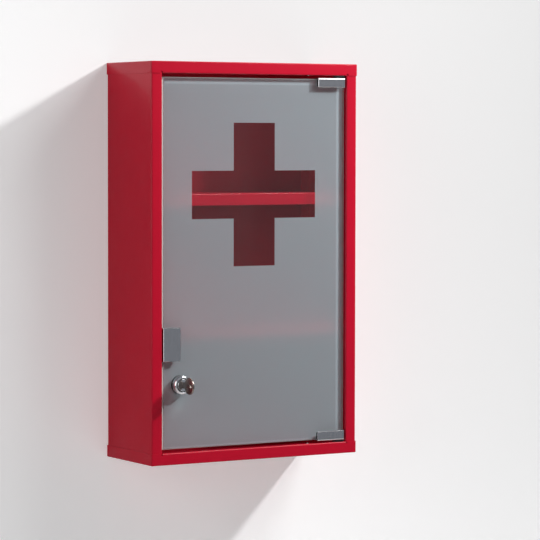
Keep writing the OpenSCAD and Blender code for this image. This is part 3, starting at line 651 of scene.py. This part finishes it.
def lock_barrel(frame, finishes):
    """Domed bezel with a dished face, on a threaded barrel."""
    low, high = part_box("lock_body")
    plug_low, plug_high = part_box("lock_plug")
    bezel_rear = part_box("lock_gaskets")[0].y
    bezel_r = (high.x - low.x) / 2
    crest_r = bezel_r - DOME_WIDTH
    dome = arc((crest_r, low.y + DOME_DEPTH), (DOME_WIDTH, DOME_DEPTH), 0.0, -QUARTER_TURN, DOME_STEPS)
    lip = arc((crest_r - CREST_WIDTH, low.y + LIP_RADIUS), (LIP_RADIUS, LIP_RADIUS),
              -QUARTER_TURN, -QUARTER_TURN - LIP_TURN, LIP_STEPS)
    face_r = (plug_high.x - plug_low.x) / 2 + PLUG_CLEARANCE
    cup = [(face_r, low.y + DISH_DEPTH), (face_r, low.y + PLUG_FACE_LENGTH)]
    bore_r = PLUG_RADIUS + PLUG_CLEARANCE
    bore = [(bore_r, low.y + PLUG_FACE_LENGTH), (bore_r, high.y)]
    root = BARREL_RADIUS - THREAD_DEPTH
    rear = [(root - BARREL_CHAMFER, high.y), (root, high.y - BARREL_CHAMFER)]
    foot = [(root, bezel_rear), (bezel_r - BEZEL_CHAMFER, bezel_rear),
            (bezel_r, bezel_rear - BEZEL_CHAMFER)]
    shape = bmesh.new()
    turned(shape, dome + lip + cup + bore + rear + thread_profile(root, high.y, bezel_rear) + foot,
           (low.x + high.x) / 2, (low.z + high.z) / 2)
    bmesh.ops.recalc_face_normals(shape, faces=shape.faces)
    flat_at_corners(new_piece(frame, "lock_barrel", shape, "lock_body", finishes))


def key_bow(centre_y, radius, shoulder_y):
    """Outlines (y, z) of the key's bow with its shouldered neck, and of the ring hole."""
    neck_half = BLADE_HEIGHT / 2 + NECK_SHOULDER
    join = math.degrees(math.asin(neck_half / radius))
    rim = arc((centre_y, 0.0), (radius, radius), join, FULL_TURN - join, BOW_STEPS)
    rim += [(shoulder_y, -neck_half), (shoulder_y, neck_half)]
    hole = arc((centre_y - RING_HOLE_OUT, 0.0), (RING_HOLE_RADIUS, RING_HOLE_RADIUS), 0.0, FULL_TURN,
               RING_HOLE_STEPS)
    return [rim, hole[:-1]]


def key_blade(start_y, shoulder_y, tip_y):
    """Outline (y, z) of the key's blade, with a sloped tip and cuts of different depth below."""
    half = BLADE_HEIGHT / 2
    tip = [(tip_y - TIP_LENGTH, half), (tip_y, half - TIP_DROP), (tip_y, TIP_CHAMFER - half)]
    pitch = (tip_y - shoulder_y) / KEY_PITCHES
    bits = []
    for cut in range(KEY_CUTS, 0, -1):
        deep = CUT_DEPTH + CUT_DEPTH_STEP * (cut % CUT_DEPTHS)
        y = shoulder_y + (cut + CUT_SHIFT) * pitch
        bits += [(y + deep + CUT_FLOOR, -half), (y + CUT_FLOOR, deep - half),
                 (y - CUT_FLOOR, deep - half), (y - deep - CUT_FLOOR, -half)]
    return [(start_y, half), *tip, *bits, (start_y, -half)]


def key_piece(frame, finishes):
    """Key with a round bow, a ring hole, a shouldered neck and a blade with cuts."""
    low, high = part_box("key")
    bow_r = (high.z - low.z) / 2
    bow_y = low.y + bow_r
    shoulder_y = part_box("lock_plug")[0].y - NECK_GAP
    bow = key_bow(bow_y, bow_r, shoulder_y)
    blade = key_blade(bow_y + bow_r / 2, shoulder_y, high.y)
    shape = bmesh.new()
    for outlines, thickness, rounding in ((bow, high.x - low.x, BOW_ROUNDING),
                                          ([blade], BLADE_THICKNESS, BLADE_ROUNDING)):
        mesh = plate_from_outline("key_plate", outlines, thickness, rounding)
        shape.from_mesh(mesh)
        bpy.data.meshes.remove(mesh)
    for vertex in shape.verts:
        along, up, across = vertex.co
        vertex.co = ((low.x + high.x) / 2 + across, along, (low.z + high.z) / 2 + up)
    bmesh.ops.remove_doubles(shape, verts=shape.verts, dist=SAME_POINT)
    bmesh.ops.recalc_face_normals(shape, faces=shape.faces)
    shade_smooth(shape)
    flat_at_corners(new_piece(frame, "cabinet_key", shape, "key", finishes))


def dress(frame):
    """Every CAD node gets its material, by its slot in the record."""
    finishes = {
        "powder_coat_red": powder_coat("powder_coat_red", RED),
        "powder_coat_inside": powder_coat("powder_coat_inside", RED_INSIDE),
        "clear_glass": clear_glass(),
        "frosting": frosting(),
    }
    finishes.update((slot, metal(slot, *look)) for slot, look in METALS.items())
    finishes.update((slot, moulded(slot, *look)) for slot, look in MOULDED.items())
    for part in frame["record"]["subparts"]:
        slots = frame["nodes"][part["node"]].data.materials
        slots.clear()
        slots.append(finishes[part["material_slot"]])
    return finishes


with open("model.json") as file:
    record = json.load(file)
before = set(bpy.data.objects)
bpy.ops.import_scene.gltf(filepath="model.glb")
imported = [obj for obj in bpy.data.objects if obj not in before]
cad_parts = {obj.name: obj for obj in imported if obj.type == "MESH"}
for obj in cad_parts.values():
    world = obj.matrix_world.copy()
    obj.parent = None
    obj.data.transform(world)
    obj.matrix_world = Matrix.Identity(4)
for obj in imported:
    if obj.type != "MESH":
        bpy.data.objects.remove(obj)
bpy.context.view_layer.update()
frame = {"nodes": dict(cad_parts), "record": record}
bpy.context.scene.view_settings.view_transform = "Standard"
photo_camera()
studio_room()
studio_lamps()
studio_world()
finishes = dress(frame)
glass_pane(frame, finishes)
frost_film(frame, finishes)
soft_edged_pieces(frame, finishes)
lock_barrel(frame, finishes)
key_piece(frame, finishes)
